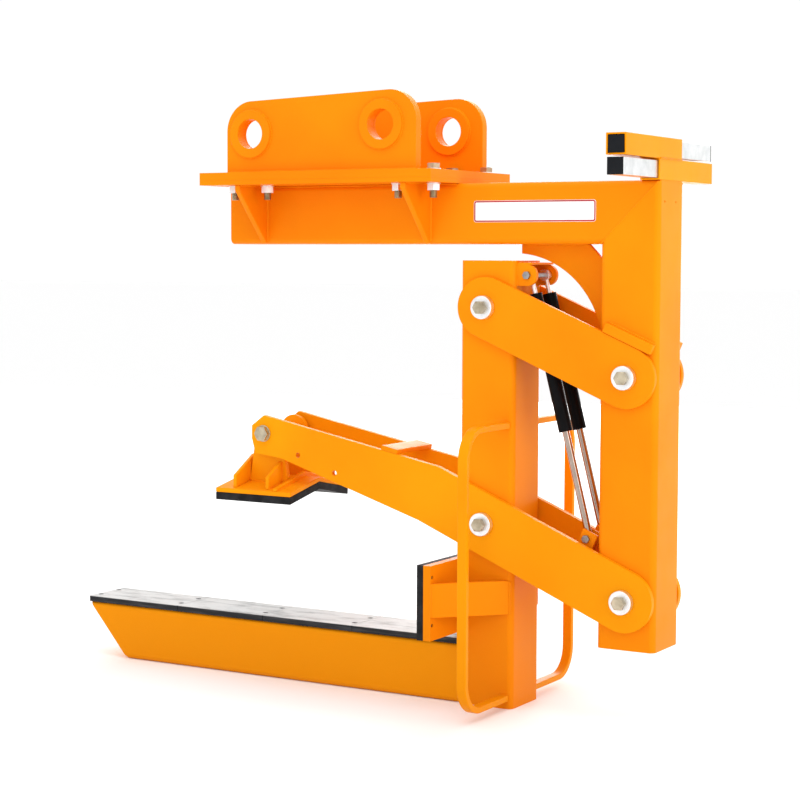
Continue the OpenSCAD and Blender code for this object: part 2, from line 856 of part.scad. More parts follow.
bracket_t = 10;
bracket_r = strut_off - 1;
module strut_bracket() {
    x0 = post_x + half;
    color(orange) difference() {
        union() {
            both_sides() upright(lug_in, bracket_t) {
                translate(strut_top) circle(bracket_r);
                translate([x0, strut_top[1] - bracket_r]) square([strut_top[0] - x0, 2 * bracket_r]);
            }
            translate([x0, -lug_in - bracket_t, strut_top[1] + bracket_r])
                cube([strut_top[0] - x0 + 12, 2 * (lug_in + bracket_t), 5]);
        }
        along_y(strut_top[0], strut_top[1], strut_pin_d / 2 + weld_fit, -tube_w, tube_w);
    }
}

module strut_upper_pin() {
    color(zinc) strut_pin_at(strut_top, lug_in + bracket_t);
}

// ---- gas struts ----
module strut_frame() {
    translate([strut_top[0], 0, strut_top[1]]) rotate([0, -strut_lean, 0])
        for (s = [-1, 1]) translate([0, s * strut_gap / 2, 0]) children();
}

module eye(z) {
    difference() {
        union() {
            along_y(0, z, eye_r, -eye_w / 2, eye_w / 2);
            children();
        }
        along_y(0, z, strut_pin_d / 2 + running, -tube_w, tube_w);
    }
}

neck = 47;
module strut_barrels() {
    inner = barrel_d / 2 - barrel_wall;
    color(rubber_black) strut_frame() difference() {
        eye(0) {
            translate([0, 0, -neck - 4]) cylinder(r = 6, h = neck);
            translate([0, 0, -barrel_l]) cylinder(d = barrel_d, h = barrel_l - neck);
        }
        translate([0, 0, -barrel_l - 1]) cylinder(r = inner, h = barrel_l - neck - 5);
    }
}

module strut_rods() {
    color(zinc) strut_frame() eye(-strut_l) translate([0, 0, -strut_l + 10]) cylinder(d = rod_d, h = rod_l - 10);
}

mast_tube();
beam_tube();
beam_end_cap();
mast_foot_cap();
corner_gusset();
side_gussets();
stop_bars();
base_plate();
top_plate();
front_ear();
rear_ear();
ear_bosses();
plate_bolts();
plate_nuts();
plate_washers();
mast_bushes();
mast_pins();
mast_pin_caps();
mast_cap_bolts();
lower_sleeve();
upper_sleeve();
lower_bar();
upper_bar();
lower_bar_plugs();
upper_bar_plugs();
front_upper_link();
rear_upper_link();
front_lever();
rear_lever();
arm_tie_plate();
strut_anchor();
strut_lower_pin();
shoe_pin();
shoe_pin_nut();
shoe_ears();
shoe_hub();
shoe_plate();
shoe_ribs();
shoe_rubber();
carriage_post();
post_top_cap();
post_foot_cap();
carriage_bushes();
carriage_pins();
carriage_pin_caps();
carriage_cap_bolts();
tine();
tine_pad();
tine_pad_screws();
heel_plate();
heel_rubber();
heel_braces();
heel_screws();
front_handle();
rear_handle();
strut_bracket();
strut_upper_pin();
strut_barrels();
strut_rods();
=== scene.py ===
import json
import math
import bpy
import bmesh
from mathutils import Matrix, Vector


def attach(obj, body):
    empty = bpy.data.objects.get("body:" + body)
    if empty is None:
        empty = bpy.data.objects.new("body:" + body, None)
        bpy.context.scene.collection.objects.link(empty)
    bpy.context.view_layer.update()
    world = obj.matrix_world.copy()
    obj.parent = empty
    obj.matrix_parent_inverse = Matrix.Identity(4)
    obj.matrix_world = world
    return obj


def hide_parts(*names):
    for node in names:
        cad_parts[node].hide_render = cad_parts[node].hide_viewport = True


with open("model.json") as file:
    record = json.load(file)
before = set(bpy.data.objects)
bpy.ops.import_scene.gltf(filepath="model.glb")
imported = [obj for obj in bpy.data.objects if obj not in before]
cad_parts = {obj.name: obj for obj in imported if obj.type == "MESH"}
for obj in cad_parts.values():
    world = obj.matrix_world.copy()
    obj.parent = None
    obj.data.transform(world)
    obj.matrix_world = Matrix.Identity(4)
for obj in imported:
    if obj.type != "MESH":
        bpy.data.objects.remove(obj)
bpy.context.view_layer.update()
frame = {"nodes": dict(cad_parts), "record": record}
nodes = frame["nodes"]
groups = frame["record"]["behaviour"]["bodies"]
bodyOf = {node: body for body, members in groups.items() for node in members}
print("frame loaded,", len(nodes), "nodes")

# the camera stands in front of the clamp on its mast side: metres, degrees, and the lens in millimetres
camera = dict(place=(2.6673, -4.3673, 1.1228), yaw=30.35, pitch=4.21, roll=0.19, lens=88.69)


def setCamera():
    data = bpy.data.cameras.new("camera")
    data.lens = camera["lens"]
    data.sensor_width = 36
    obj = bpy.data.objects.new("camera", data)
    bpy.context.scene.collection.objects.link(obj)
    turn = Matrix.Rotation(math.radians(camera["yaw"]), 4, "Z")
    tip = Matrix.Rotation(math.radians(90 - camera["pitch"]), 4, "X")
    roll = Matrix.Rotation(math.radians(camera["roll"]), 4, "Z")
    obj.matrix_world = Matrix.Translation(camera["place"]) @ turn @ tip @ roll
    bpy.context.scene.camera = obj


# white room: sky strength, the floor's shade, roughness and half width in metres, then the soft boxes
studio = dict(sky=1.02, floorGrey=0.975, floorRough=0.85, floorSize=60)
softLights = [
    dict(name="topLight", place=(0.4, -0.6, 4.2), aim=(0, 0, 0.7), size=3.6, power=44),
    dict(name="mastLight", place=(4.6, -1.2, 1.7), aim=(0.4, 0, 0.8), size=2.4, power=46),
    dict(name="backLight", place=(-1.5, 9.0, 3.0), aim=(0, 0, 1.2), size=7.0, power=620),
    dict(name="frontLight", place=(-0.6, -5.0, 2.0), aim=(0, 0, 0.7), size=3.0, power=6),
]


def setStudio():
    world = bpy.data.worlds.new("studio")
    world.use_nodes = True
    sky = world.node_tree.nodes["Background"]
    sky.inputs["Color"].default_value = (1, 1, 1, 1)
    sky.inputs["Strength"].default_value = studio["sky"]
    bpy.context.scene.world = world
    bpy.context.scene.view_settings.view_transform = "Standard"
    for spec in softLights:
        light = bpy.data.lights.new(spec["name"], "AREA")
        light.shape = "SQUARE"
        light.size = spec["size"]
        light.energy = spec["power"]
        obj = bpy.data.objects.new(spec["name"], light)
        bpy.context.scene.collection.objects.link(obj)
        place = Vector(spec["place"])
        toward = Vector(spec["aim"]) - place
        obj.matrix_world = Matrix.Translation(place) @ toward.to_track_quat("-Z", "Y").to_matrix().to_4x4()
    bm = bmesh.new()
    bmesh.ops.create_grid(bm, x_segments=1, y_segments=1, size=studio["floorSize"])
    floor = asObject("floor", bm)
    mat, tree, shader = newMaterial("floorPaint")
    shader.inputs["Base Color"].default_value = (studio["floorGrey"],) * 3 + (1,)
    shader.inputs["Roughness"].default_value = studio["floorRough"]
    floor.data.materials.append(mat)


def newMaterial(name):
    mat = bpy.data.materials.new(name)
    mat.use_nodes = True
    tree = mat.node_tree
    return mat, tree, tree.nodes["Principled BSDF"]


def objectPlace(tree, scale=(1, 1, 1)):
    coords = tree.nodes.new("ShaderNodeTexCoord")
    mapping = tree.nodes.new("ShaderNodeMapping")
    mapping.inputs["Scale"].default_value = scale
    tree.links.new(coords.outputs["Object"], mapping.inputs["Vector"])
    return mapping.outputs["Vector"]


def noise(tree, place, scale, detail=3, rough=0.5):
    node = tree.nodes.new("ShaderNodeTexNoise")
    node.inputs["Scale"].default_value = scale
    node.inputs["Detail"].default_value = detail
    node.inputs["Roughness"].default_value = rough
    tree.links.new(place, node.inputs["Vector"])
    return node.outputs["Fac"]


def ramp(tree, fac, low, high, first=0.3, last=0.7):
    node = tree.nodes.new("ShaderNodeValToRGB")
    node.color_ramp.elements[0].position = first
    node.color_ramp.elements[1].position = last
    node.color_ramp.elements[0].color = low
    node.color_ramp.elements[1].color = high
    tree.links.new(fac, node.inputs["Fac"])
    return node.outputs["Color"]


def spread(tree, fac, low, high):
    node = tree.nodes.new("ShaderNodeMapRange")
    node.inputs["From Min"].default_value = 0.3
    node.inputs["From Max"].default_value = 0.7
    node.inputs["To Min"].default_value = low
    node.inputs["To Max"].default_value = high
    tree.links.new(fac, node.inputs["Value"])
    return node.outputs["Result"]


def blendColours(tree, fac, first, second):
    node = tree.nodes.new("ShaderNodeMix")
    node.data_type = "RGBA"
    tree.links.new(fac, node.inputs["Factor"])
    for socket, value in ((node.inputs[6], first), (node.inputs[7], second)):
        if isinstance(value, tuple):
            socket.default_value = value
        else:
            tree.links.new(value, socket)
    return node.outputs[2]


def relief(tree, shader, heights, strength, distance):
    last = None
    for height, share in heights:
        bump = tree.nodes.new("ShaderNodeBump")
        bump.inputs["Strength"].default_value = strength * share
        bump.inputs["Distance"].default_value = distance
        tree.links.new(height, bump.inputs["Height"])
        if last:
            tree.links.new(last, bump.inputs["Normal"])
        last = bump.outputs["Normal"]
    tree.links.new(last, shader.inputs["Normal"])


# orange powder coats: fresh colour, its deeper patches, and the dust caught in it; the yellow copy of the one
# orange is painted lighter and the warm copy darker, painted light and shade per part
coats = dict(paint=((0.93, 0.285, 0.003, 1), (0.87, 0.235, 0.0024, 1), (0.93, 0.38, 0.04, 1)),
             paintShadedWarm=((0.92, 0.262, 0.003, 1), (0.86, 0.215, 0.0024, 1), (0.93, 0.36, 0.04, 1)),
             paintLitYellow=((0.93, 0.345, 0.003, 1), (0.88, 0.288, 0.0024, 1), (0.93, 0.42, 0.04, 1)))

# up to this height in metres the paint is a little darker, painted shade towards the floor, and its shine is
# warm and weak
lowShade = dict(reach=0.6, shade=(0.86, 0.86, 1.0))
shine = dict(rough=(0.30, 0.42), level=0.055, tint=(1.0, 0.86, 0.58, 1), peel=0.10)


def powderCoat(name):
    mat, tree, shader = newMaterial(name + "Powder")
    fresh, deep, dust = coats[name]
    place = objectPlace(tree)
    drift = ramp(tree, noise(tree, place, 2.2, 4), deep, fresh, 0.35, 0.6)
    # painted shade: the coat turns darker towards the floor
    height = tree.nodes.new("ShaderNodeSeparateXYZ")
    tree.links.new(place, height.inputs["Vector"])
    rise = tree.nodes.new("ShaderNodeMapRange")
    rise.inputs["From Max"].default_value = lowShade["reach"]
    tree.links.new(height.outputs["Z"], rise.inputs["Value"])
    low = tuple(c * k for c, k in zip(deep, lowShade["shade"])) + (1,)
    drift = blendColours(tree, rise.outputs["Result"], low, drift)
    specks = ramp(tree, noise(tree, place, 310, 2, 0.7), (0, 0, 0, 1), (0.35, 0.35, 0.35, 1), 0.68, 0.78)
    tree.links.new(blendColours(tree, specks, drift, dust), shader.inputs["Base Color"])
    tree.links.new(spread(tree, noise(tree, place, 14, 4), *shine["rough"]), shader.inputs["Roughness"])
    shader.inputs["Specular IOR Level"].default_value = shine["level"]
    shader.inputs["Specular Tint"].default_value = shine["tint"]
    peel = [(noise(tree, place, 420, 2), 1.0), (noise(tree, place, 70, 3), 0.7)]
    relief(tree, shader, peel, shine["peel"], 0.0006)
    return mat


def plated(name, bright, dull, roughLow, roughHigh, grain=(1, 1, 1), grainScale=60):
    mat, tree, shader = newMaterial(name)
    place = objectPlace(tree, grain)
    cloud = noise(tree, objectPlace(tree), 38, 4, 0.6)
    tree.links.new(ramp(tree, cloud, dull, bright, 0.3, 0.65), shader.inputs["Base Color"])
    streak = noise(tree, place, grainScale, 3, 0.6)
    tree.links.new(spread(tree, streak, roughLow, roughHigh), shader.inputs["Roughness"])
    shader.inputs["Metallic"].default_value = 1
    relief(tree, shader, [(streak, 1.0)], 0.12, 0.0003)
    return mat


# heel and shoe rubber, with the faint layers of a sheet cut from a thick mat
sheetRubber = dict(fresh=(0.007, 0.007, 0.008, 1), worn=(0.024, 0.024, 0.026, 1), layers=(1, 1, 6))


def layeredRubber():
    mat, tree, shader = newMaterial("blackRubber")
    place = objectPlace(tree)
    patches = noise(tree, place, 22, 5, 0.65)
    wear = ramp(tree, patches, sheetRubber["fresh"], sheetRubber["worn"], 0.42, 0.7)
    tree.links.new(wear, shader.inputs["Base Color"])
    tree.links.new(spread(tree, noise(tree, place, 45, 3), 0.5, 0.72), shader.inputs["Roughness"])
    shader.inputs["Specular IOR Level"].default_value = 0.14
    layers = noise(tree, objectPlace(tree, sheetRubber["layers"]), 30, 3)
    heights = [(noise(tree, place, 520, 3), 0.6), (noise(tree, place, 60, 4), 1.0), (layers, 1.3)]
    relief(tree, shader, heights, 0.35, 0.0008)
    return mat


# the pad turns from black sides to a pale top between these heights in metres: the pale top is a painted
# sheen, lighter because of how light grazes it
padTopSheen = dict(edge=(0.1642, 0.1656), thin=(0.36, 0.36, 0.355, 1), thick=(0.62, 0.62, 0.61, 1),
               sideDark=(0.012, 0.013, 0.015, 1), sideWorn=(0.05, 0.05, 0.055, 1))


def sheenTopPad():
    mat, tree, shader = newMaterial("sheenTopRubber")
    place = objectPlace(tree)
    parts = tree.nodes.new("ShaderNodeSeparateXYZ")
    tree.links.new(place, parts.inputs["Vector"])
    topMask = tree.nodes.new("ShaderNodeMapRange")
    topMask.inputs["From Min"].default_value, topMask.inputs["From Max"].default_value = padTopSheen["edge"]
    tree.links.new(parts.outputs["Z"], topMask.inputs["Value"])
    # painted sheen: the pale mottled colour laid on the pad's top face
    topSheen = ramp(tree, noise(tree, objectPlace(tree, (0.35, 1.3, 1)), 26, 6, 0.68),
                 padTopSheen["thin"], padTopSheen["thick"], 0.34, 0.52)
    side = ramp(tree, noise(tree, objectPlace(tree, (0.2, 1, 3)), 60, 4),
                padTopSheen["sideDark"], padTopSheen["sideWorn"], 0.45, 0.75)
    tree.links.new(blendColours(tree, topMask.outputs["Result"], side, topSheen), shader.inputs["Base Color"])
    tree.links.new(spread(tree, noise(tree, place, 40, 3), 0.36, 0.55), shader.inputs["Roughness"])
    shader.inputs["Specular IOR Level"].default_value = 0.2
    relief(tree, shader, [(noise(tree, place, 480, 3), 0.6), (noise(tree, place, 55, 4), 1.0)], 0.3, 0.0008)
    return mat


def blackGloss():
    mat, tree, shader = newMaterial("blackGloss")
    place = objectPlace(tree)
    tree.links.new(ramp(tree, noise(tree, place, 30, 3), (0.002, 0.002, 0.002, 1), (0.006, 0.006, 0.007, 1)),
                   shader.inputs["Base Color"])
    tree.links.new(spread(tree, noise(tree, place, 90, 3), 0.38, 0.5), shader.inputs["Roughness"])
    shader.inputs["Specular IOR Level"].default_value = 0.06
    relief(tree, shader, [(noise(tree, place, 500, 2), 1.0)], 0.06, 0.0003)
    return mat


def plastic(name, colour, roughness, grainScale=380):
    mat, tree, shader = newMaterial(name)
    place = objectPlace(tree)
    faded = tuple(min(1, c * 1.25 + 0.004) for c in colour[:3]) + (1,)
    tree.links.new(ramp(tree, noise(tree, place, 18, 4), colour, faded), shader.inputs["Base Color"])
    tree.links.new(spread(tree, noise(tree, place, 60, 3), roughness - 0.05, roughness + 0.06),
                   shader.inputs["Roughness"])
    shader.inputs["Specular IOR Level"].default_value = 0.15
    relief(tree, shader, [(noise(tree, place, grainScale, 2), 1.0)], 0.12, 0.0003)
    return mat


def makeMaterials():
    return dict(
        paint=powderCoat("paint"),
        paintShadedWarm=powderCoat("paintShadedWarm"),
        paintLitYellow=powderCoat("paintLitYellow"),
        cap=plated("brightZinc", (0.93, 0.93, 0.94, 1), (0.78, 0.79, 0.80, 1), 0.32, 0.48, grainScale=120),
        bolt=plated("yellowZinc", (0.60, 0.52, 0.38, 1), (0.34, 0.28, 0.19, 1), 0.26, 0.42, grainScale=120),
        steel=plated("wornSteel", (0.55, 0.55, 0.56, 1), (0.22, 0.22, 0.23, 1), 0.35, 0.55, grainScale=90),
        galvanised=plated("galvanised", (0.90, 0.91, 0.91, 1), (0.74, 0.76, 0.76, 1), 0.28, 0.42,
                          (6, 0.25, 6), 40),
        # the rod chrome is tinted tan: a painted reflection of the orange paint around it
        chrome=plated("chromeRodPaintedReflection", (0.48, 0.39, 0.33, 1), (0.40, 0.32, 0.27, 1), 0.07, 0.13, (1, 1, 1), 200),
        dark=plated("blackenedSteel", (0.10, 0.10, 0.105, 1), (0.03, 0.03, 0.032, 1), 0.4, 0.6,
                    grainScale=90),
        rubber=layeredRubber(),
        pad=sheenTopPad(),
        gloss=blackGloss(),
        plug=plastic("blackPlastic", (0.003, 0.004, 0.006, 1), 0.42),
        labelWhite=plastic("labelWhite", (0.88, 0.88, 0.87, 1), 0.35, 600),
        labelRed=plastic("labelRed", (0.42, 0.012, 0.018, 1), 0.35, 600),
    )


def asObject(name, bm, material=None):
    mesh = bpy.data.meshes.new(name)
    bm.to_mesh(mesh)
    bm.free()
    obj = bpy.data.objects.new(name, mesh)
    bpy.context.scene.collection.objects.link(obj)
    if material:
        mesh.materials.append(material)
    return obj


def smoothShade(obj, sharp=35):
    for face in obj.data.polygons:
        face.use_smooth = True
    obj.data.set_sharp_from_angle(angle=math.radians(sharp))


# how a rounded edge is made, and above which angle in degrees an edge counts as sharp
roundedEdge = dict(segments=2, above=32, weight=80)


def roundEdges(obj, width):
    bevel = obj.modifiers.new("edge", "BEVEL")
    bevel.width = width
    bevel.segments = roundedEdge["segments"]
    bevel.limit_method = "ANGLE"
    bevel.angle_limit = math.radians(roundedEdge["above"])
    bevel.use_clamp_overlap = True
    bevel.miter_outer = "MITER_ARC"
    even = obj.modifiers.new("even", "WEIGHTED_NORMAL")
    even.weight = roundedEdge["weight"]
    even.keep_sharp = False


# a CAD mesh as a working copy: loose triangles merged, flat faces made whole
def cleanCopy(node):
    bm = bmesh.new()
    bm.from_mesh(nodes[node].data)
    bmesh.ops.remove_doubles(bm, verts=bm.verts, dist=0.00002)
    bmesh.ops.dissolve_limit(bm, angle_limit=math.radians(0.8), verts=bm.verts, edges=bm.edges)
    return bm


# width of the rounded edge of each CAD part, in metres, and its finish
partFinishes = {
    "mast_tube": (0.0012, "paint"), "beam_tube": (0.0012, "paintShadedWarm"),
    "beam_end_cap": (0.0010, "paintShadedWarm"), "mast_foot_cap": (0.0010, "paint"),
    "corner_gusset": (0.0015, "paint"), "side_gussets": (0.0018, "paintShadedWarm"),
    "stop_bars": (0.0028, "paint"), "base_plate": (0.0022, "paintShadedWarm"), "top_plate": (0.0030, "paintShadedWarm"),
    "front_ear": (0.0026, "paintShadedWarm"), "rear_ear": (0.0026, "paintShadedWarm"),
    "ear_bosses": (0.0016, "paintShadedWarm"), "plate_washers": (0.0005, "cap"), "mast_bushes": (0.0008, "paint"),
    "mast_pins": (0.0010, "steel"), "mast_pin_caps": (0.0022, "cap"),
    "lower_sleeve": (0.0014, "paintLitYellow"), "upper_sleeve": (0.0014, "paintLitYellow"),
    "lower_bar": (0.0010, "galvanised"), "upper_bar": (0.0010, "galvanised"),
    "front_upper_link": (0.0024, "paint"), "rear_upper_link": (0.0024, "paint"),
    "front_lever": (0.0024, "paintLitYellow"), "rear_lever": (0.0024, "paintLitYellow"),
    "arm_tie_plate": (0.0018, "paint"), "strut_anchor": (0.0012, "paint"),
    "strut_lower_pin": (0.0008, "steel"), "shoe_ears": (0.0020, "paintLitYellow"),
    "shoe_hub": (0.0010, "paintLitYellow"), "shoe_plate": (0.0022, "paintLitYellow"),
    "shoe_ribs": (0.0016, "paintLitYellow"), "carriage_post": (0.0012, "paint"),
    "post_top_cap": (0.0010, "paint"), "post_foot_cap": (0.0010, "paint"),
    "carriage_bushes": (0.0008, "paint"), "carriage_pins": (0.0010, "steel"),
    "carriage_pin_caps": (0.0022, "cap"), "tine": (0.0012, "paintLitYellow"), "heel_plate": (0.0024, "paint"),
    "heel_braces": (0.0016, "paint"), "strut_bracket": (0.0014, "paint"),
    "strut_upper_pin": (0.0008, "steel"), "heel_rubber": (0.0022, "rubber"),
    "shoe_rubber": (0.0022, "rubber"), "heel_screws": (0.0006, "dark"),
    "front_handle": (0.0022, "paintLitYellow"), "rear_handle": (0.0022, "paintLitYellow"),
    "tine_pad_screws": (0.0006, "dark"), "plate_nuts": (0.0012, "cap"), "shoe_pin_nut": (0.0012, "cap"),
    "lower_bar_plugs": (0.0014, "plug"), "upper_bar_plugs": (0.0014, "plug"),
}


def finishCadParts():
    for node, (width, finish) in partFinishes.items():
        obj = asObject(node + "_finished", cleanCopy(node), finishes[finish])
        smoothShade(obj)
        roundEdges(obj, width)
        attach(obj, bodyOf[node])
        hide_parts(node)


# turns a shape built upwards on the origin to stand on a place, pointing along an axis
def standing(place, axis):
    turns = {"z": 0, "-z": 180, "y": -90, "-y": 90}
    return Matrix.Translation(place) @ Matrix.Rotation(math.radians(turns[axis]), 4, "X")


def addTo(whole, part, at=None):
    if at:
        bmesh.ops.transform(part, matrix=at, verts=part.verts)
    mesh = bpy.data.meshes.new("part")
    part.to_mesh(mesh)
    part.free()
    whole.from_mesh(mesh)
    bpy.data.meshes.remove(mesh)


# spins (radius, height) pairs round the axis and closes both ends
def lathe(whole, profile, place, axis, steps=24):
    bm = bmesh.new()
    verts = [bm.verts.new((radius, 0, height)) for radius, height in profile]
    line = [bm.edges.new(pair) for pair in zip(verts, verts[1:])]
    bmesh.ops.spin(bm, geom=verts + line, axis=(0, 0, 1), angle=2 * math.pi, steps=steps, use_merge=True)
    bmesh.ops.holes_fill(bm, edges=bm.edges)
    addTo(whole, bm, standing(place, axis))


# forged head: crown against the width, dish against the crown, and the slope of the corner chamfer
hexForm = dict(steps=36, crown=0.93, dish=0.6, dishDeep=0.0002, slope=0.577)


def hexHead(whole, place, axis, across, height):
    flat = across / 2
    crown = flat * hexForm["crown"]
    bm = bmesh.new()
    bmesh.ops.create_cone(bm, cap_ends=True, segments=hexForm["steps"], radius1=flat, radius2=flat,
                          depth=height, matrix=Matrix.Translation((0, 0, height / 2)))
    blank = bm.verts[:]
    top = max(bm.faces, key=lambda face: face.calc_center_median().z)
    for scale, drop in ((hexForm["crown"], 0), (hexForm["dish"], hexForm["dishDeep"])):
        top = bmesh.ops.extrude_discrete_faces(bm, faces=[top])["faces"][0]
        bmesh.ops.scale(bm, vec=(scale, scale, 1), verts=top.verts)
        bmesh.ops.translate(bm, vec=(0, 0, -drop), verts=top.verts)
    for vert in blank:  # the round blank is pulled out to six corners
        angle = math.atan2(vert.co.y, vert.co.x)
        reach = flat / math.cos(angle % (math.pi / 3) - math.pi / 6)
        if vert.co.z > height / 2:
            vert.co.z -= (reach - crown) * hexForm["slope"]
        vert.co.x, vert.co.y = reach * math.cos(angle), reach * math.sin(angle)
    addTo(whole, bm, standing(place, axis))


threads = dict(root=0.87, end=0.84)


# plain shank with a thread of rings on its last stretch
def shank(whole, place, axis, radius, length, thread=0, pitch=0.0025):
    z = length - thread
    profile = [(radius, 0), (radius, z)]
    while thread and z < length - pitch:
        profile += [(radius * threads["root"], z + pitch * 0.45), (radius, z + pitch * 0.9)]
        z += pitch
    profile.append((radius * threads["end"], length))
    lathe(whole, profile, place, axis)


def disc(whole, place, axis, radius, height, edge=0.0006):
    profile = [(radius - edge, 0), (radius, edge), (radius, height - edge), (radius - edge, height)]
    lathe(whole, profile, place, axis, 48)


def sharpPiece(name, bm, material, body, node=None, sharp=28):
    bmesh.ops.recalc_face_normals(bm, faces=bm.faces)
    obj = asObject(name, bm, material)
    smoothShade(obj, sharp)
    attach(obj, body)
    if node:
        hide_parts(node)


# fasteners, in millimetres: plate bolts, pin cap bolts, then the pin through the shoe
fasteners = dict(plateX=(-256.3, 233.7), pair=50, boltY=138, headZ=1335, tailZ=1263, threadLong=36,
                 hexAcross=30, hexTall=12.5, boltR=10, capY=91.5, capThick=18,
                 mastX=778.7035, postX=401.2965, mastZs=(300, 835), postZs=(460.1998, 995.1998))
shoePin = dict(tip=(-252.7035, 653.1998), headY=-94, long=204, radius=12, threadLong=14, threadPitch=3,
               washerY=-91, washerR=22, washerTall=3, hexAcross=36, hexTall=12)


def mm(*values):
    return tuple(v / 1000 for v in values)


def buildPlateBolts():
    f = fasteners
    bm = bmesh.new()
    head = mm(f["hexAcross"], f["hexTall"])
    body = mm(f["boltR"], f["headZ"] - f["tailZ"], f["threadLong"])
    for x in f["plateX"]:
        for dx in (-f["pair"], f["pair"]):
            for y in (-f["boltY"], f["boltY"]):
                place = mm(x + dx, y, f["headZ"])
                hexHead(bm, place, "z", *head)
                shank(bm, place, "-z", *body)
    sharpPiece("plate_bolts_finished", bm, finishes["bolt"], "frame", "plate_bolts")


def buildCapBolts(node, body, x, heights):
    f = fasteners
    bm = bmesh.new()
    for z in heights:
        for side, axis in ((-1, "-y"), (1, "y")):
            hexHead(bm, mm(x, side * (f["capY"] + f["capThick"]), z), axis, *mm(f["hexAcross"], f["hexTall"]))
            shank(bm, mm(x, side * f["capY"], z), axis, *mm(f["boltR"], f["capThick"]))
    sharpPiece(node + "_finished", bm, finishes["bolt"], body, node)


def buildShoePin():
    p = shoePin
    x, z = p["tip"]
    bm = bmesh.new()
    shank(bm, mm(x, p["headY"], z), "y", *mm(p["radius"], p["long"], p["threadLong"], p["threadPitch"]))
    disc(bm, mm(x, p["washerY"], z), "-y", *mm(p["washerR"], p["washerTall"]))
    hexHead(bm, mm(x, p["headY"], z), "-y", *mm(p["hexAcross"], p["hexTall"]))
    sharpPiece("shoe_pin_finished", bm, finishes["bolt"], "lever", "shoe_pin")


# blank label on the beam's front face, in millimetres
label = dict(x=(363.3, 691.7), z=(1203.5, 1256), y=-75.1, corner=6, cornerSteps=6, back=0.1, thick=0.5,
             border=3.2, inset=0.9, innerCorner=3, borderThick=0.2)


# flat panel with round corners, upright on the beam's face
def roundedPanel(bm, y, inset, corner):
    (x0, x1), (z0, z1) = label["x"], label["z"]
    left, right, low, high = x0 + inset, x1 - inset, z0 + inset, z1 - inset
    verts = [bm.verts.new(mm(x, y, z)) for x, z in ((left, low), (right, low), (right, high), (left, high))]
    bm.faces.new(verts)
    bmesh.ops.bevel(bm, geom=verts, affect="VERTICES", offset=corner / 1000, offset_type="OFFSET",
                    segments=label["cornerSteps"], profile=0.5, material=-1)


def newVerts(made):
    return [part for part in made["geom"] if isinstance(part, bmesh.types.BMVert)]


def buildLabel():
    b = label
    bm = bmesh.new()
    roundedPanel(bm, b["y"] + b["back"], 0, b["corner"])
    made = bmesh.ops.extrude_face_region(bm, geom=bm.faces[:])
    bmesh.ops.translate(bm, vec=mm(0, -b["thick"], 0), verts=newVerts(made))
    sharpPiece("label_blank", bm, finishes["labelWhite"], "frame")
    bm = bmesh.new()
    face = b["y"] + b["back"] - b["thick"]
    roundedPanel(bm, face - b["borderThick"], b["inset"], b["corner"] - b["inset"] / 2)
    roundedPanel(bm, face - b["borderThick"], b["inset"] + b["border"], b["innerCorner"])
    bmesh.ops.delete(bm, geom=bm.faces[:], context="FACES_ONLY")
    bmesh.ops.bridge_loops(bm, edges=bm.edges[:])
    made = bmesh.ops.extrude_edge_only(bm, edges=[edge for edge in bm.edges if edge.is_boundary])
    bmesh.ops.translate(bm, vec=mm(0, b["borderThick"], 0), verts=newVerts(made))
    sharpPiece("label_border", bm, finishes["labelRed"], "frame")


# the tine's pad is laid in four tiles, in millimetres; past is how far the end cuts stand clear
padTiles = dict(ends=(-853.7, 326.3), seams=(-548, -268, 12), gap=1.6, past=5, edge=1.6)


def buildPadTiles():
    half = padTiles["gap"] / 2
    starts = [padTiles["ends"][0] - padTiles["past"]] + [x + half for x in padTiles["seams"]]
    stops = [x - half for x in padTiles["seams"]] + [padTiles["ends"][1] + padTiles["past"]]
    tiles = bmesh.new()
    for start, stop in zip(starts, stops):
        bm = cleanCopy("tine_pad")
        for x, side in ((start, 1), (stop, -1)):
            whole = bm.verts[:] + bm.edges[:] + bm.faces[:]
            cut = bmesh.ops.bisect_plane(bm, geom=whole, plane_co=mm(x, 0, 0), plane_no=(side, 0, 0),
                                         clear_inner=True)
            rim = [part for part in cut["geom_cut"] if isinstance(part, bmesh.types.BMEdge)]
            if rim:
                bmesh.ops.contextual_create(bm, geom=rim)
        addTo(tiles, bm)
    obj = asObject("tine_pad_tiles", tiles, finishes["pad"])
    smoothShade(obj)
    roundEdges(obj, padTiles["edge"] / 1000)
    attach(obj, "carriage")
    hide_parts("tine_pad")


# gas struts: black barrels, chrome rods, and zinc eyes within these reaches of the pins, in millimetres
struts = dict(top=(503.2965, 1074.1998), foot=(667.7035, 439.0), barrelEye=46, rodEye=22, edge=1.5)


def buildStruts():
    for node, place, reach, main in (("strut_barrels", struts["top"], struts["barrelEye"], "gloss"),
                                     ("strut_rods", struts["foot"], struts["rodEye"], "chrome")):
        obj = asObject(node + "_finished", cleanCopy(node), finishes[main])
        obj.data.materials.append(finishes["cap"])
        for face in obj.data.polygons:
            far = math.hypot(face.center.x * 1000 - place[0], face.center.z * 1000 - place[1])
            if far < reach:
                face.material_index = 1
        smoothShade(obj)
        roundEdges(obj, struts["edge"] / 1000)
        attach(obj, bodyOf[node])
        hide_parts(node)


# weld beads in millimetres: a ring every step, a ripple every pitch
beads = dict(step=1.5, pitch=4.5, sides=8)
weldLines = {"frame": [], "carriage": [], "lever": [], "shoe": []}


def weld(body, radius, *points):
    weldLines[body].append((radius, [Vector(mm(*p)) for p in points]))


def walkLine(points, step):
    samples = []
    for first, last in zip(points, points[1:]):
        count = max(2, round((last - first).length / step))
        for i in range(count):
            samples.append(first.lerp(last, i / count))
    samples.append(points[-1])
    return samples


